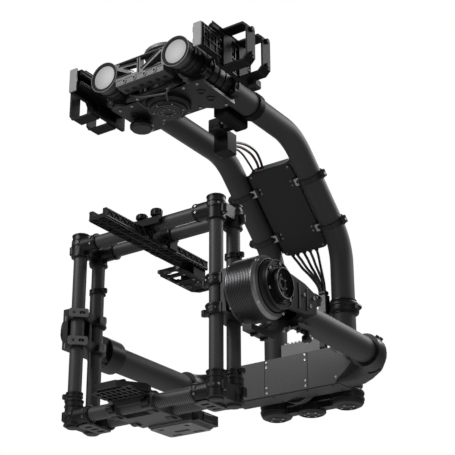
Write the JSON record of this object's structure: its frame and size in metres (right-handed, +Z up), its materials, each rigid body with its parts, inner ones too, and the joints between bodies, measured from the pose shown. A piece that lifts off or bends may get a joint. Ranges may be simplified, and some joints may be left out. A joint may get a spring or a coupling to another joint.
{
  "type": "gimbal_stabilizer",
  "caption": "Three-axis camera gimbal stabilizer that hangs from its top mount, with a bent twin-tube boom, a roll arm and a tilting tube cage.",
  "frame": {"origin": "centre of the top mounting face", "axes": "+Z up, +Y to the rear, +X to the right as seen from the front"},
  "size_m": [0.5237, 0.7405, 0.744],
  "materials": {
    "black_anodised": "near-black hard anodising, satin",
    "dark_machined": "dark grey anodising, satin",
    "grey_machined": "mid grey anodising with bright cut edges",
    "light_machined": "light grey anodising, satin",
    "silver": "plain bright steel",
    "satin_tube": "satin dark grey carbon composite",
    "carbon_weave": "clear-coated twill carbon weave",
    "carbon_plate": "fine twill carbon sheet, semi-gloss",
    "case_black": "matt black moulded cover",
    "cable_black": "matt black cable jacket"
  },
  "bodies": {
    "mount": {"mount_plate": "light_machined", "pan_stator": "black_anodised"},
    "head": {"pan_can": "black_anodised", "head_front_truss": "grey_machined", "head_clamp_left": "dark_machined", "head_clamp_right": "dark_machined", "head_base_plate": "grey_machined", "battery_rail_left": "black_anodised", "battery_rail_right": "black_anodised", "battery_loops_left": "black_anodised", "battery_loops_right": "black_anodised", "accessory_port": "dark_machined"},
    "boom": {"boom_tube_left": "satin_tube", "boom_tube_right": "satin_tube", "boom_foot": "black_anodised", "boom_collar_left": "black_anodised", "boom_collar_right": "black_anodised", "power_block": "black_anodised", "case_body": "case_black", "case_cover": "case_black", "case_clamp_upper": "dark_machined", "case_clamp_lower": "dark_machined", "upper_cables": "cable_black", "lower_cables": "cable_black"},
    "roll_stage": {"stage_clamp": "black_anodised", "stage_plate": "light_machined", "roll_stator": "black_anodised"},
    "roll_arm": {"roll_box": "dark_machined", "roll_front_plate": "carbon_plate", "roll_box_end_left": "dark_machined", "roll_box_end_right": "dark_machined", "arm_tube_left": "satin_tube", "arm_tube_right": "satin_tube", "arm_clamp_left": "black_anodised", "arm_clamp_right": "black_anodised", "tilt_bracket": "black_anodised", "tilt_stator": "dark_machined"},
    "arm_knob_body": {"arm_knob": "black_anodised"},
    "cradle": {"tilt_can": "dark_machined", "cradle_left": "black_anodised", "cradle_right": "black_anodised"},
    "cage": {"upright_front_left": "carbon_weave", "upright_front_right": "carbon_weave", "upright_rear_left": "carbon_weave", "upright_rear_right": "carbon_weave", "cross_tube_lower_front": "carbon_weave", "cross_tube_lower_rear": "carbon_weave", "cross_tube_upper_front": "carbon_weave", "cross_tube_upper_rear": "carbon_weave", "corner_bottom_left": "black_anodised", "corner_bottom_right": "black_anodised", "corner_top_left": "black_anodised", "corner_top_right": "black_anodised", "cage_height_rod": "silver"},
    "saddle_body": {"cage_saddle": "grey_machined"},
    "plate_body": {"camera_plate": "dark_machined"},
    "top_slider": {"rail_clamp_front": "black_anodised", "rail_clamp_rear": "black_anodised"},
    "rail_body": {"top_rail": "black_anodised"},
    "bracket_body": {"camera_bracket": "black_anodised"}
  },
  "joints": [
    {"name": "pan", "type": "hinge", "parent": "mount", "child": "head", "pos_m": [0, 0, -0.07], "axis": [0, 0, 1], "continuous": true},
    {"name": "boom_slide", "type": "slide", "parent": "head", "child": "boom", "axis": [0, 1, 0], "range_m": [-0.025, 0.03]},
    {"name": "roll_height", "type": "slide", "parent": "boom", "child": "roll_stage", "axis": [0, 0, 1], "range_m": [-0.003, 0.04]},
    {"name": "roll", "type": "hinge", "parent": "roll_stage", "child": "roll_arm", "pos_m": [0, 0.452, -0.556], "axis": [0, 1, 0], "range_deg": [-60, 60]},
    {"name": "arm_knob_turn", "type": "hinge", "parent": "roll_arm", "child": "arm_knob_body", "pos_m": [0.228, 0.112, -0.598], "axis": [0, 0, 1], "range_deg": [-120, 120]},
    {"name": "tilt", "type": "hinge", "parent": "roll_arm", "child": "cradle", "pos_m": [0, -0.034, -0.556], "axis": [1, 0, 0], "range_deg": [-165, 165]},
    {"name": "cage_height", "type": "slide", "parent": "cradle", "child": "cage", "axis": [0, 0, 1], "range_m": [-0.045, 0.08]},
    {"name": "saddle_slide", "type": "slide", "parent": "cage", "child": "saddle_body", "axis": [1, 0, 0], "range_m": [-0.045, 0.045]},
    {"name": "plate_slide", "type": "slide", "parent": "saddle_body", "child": "plate_body", "axis": [0, 1, 0], "range_m": [-0.04, 0]},
    {"name": "top_slider_slide", "type": "slide", "parent": "cage", "child": "top_slider", "axis": [1, 0, 0], "range_m": [-0.08, 0.06]},
    {"name": "rail_slide", "type": "slide", "parent": "top_slider", "child": "rail_body", "axis": [0, 1, 0], "range_m": [-0.04, 0.1]},
    {"name": "bracket_slide", "type": "slide", "parent": "rail_body", "child": "bracket_body", "axis": [0, 1, 0], "range_m": [-0.08, 0]}
  ]
}
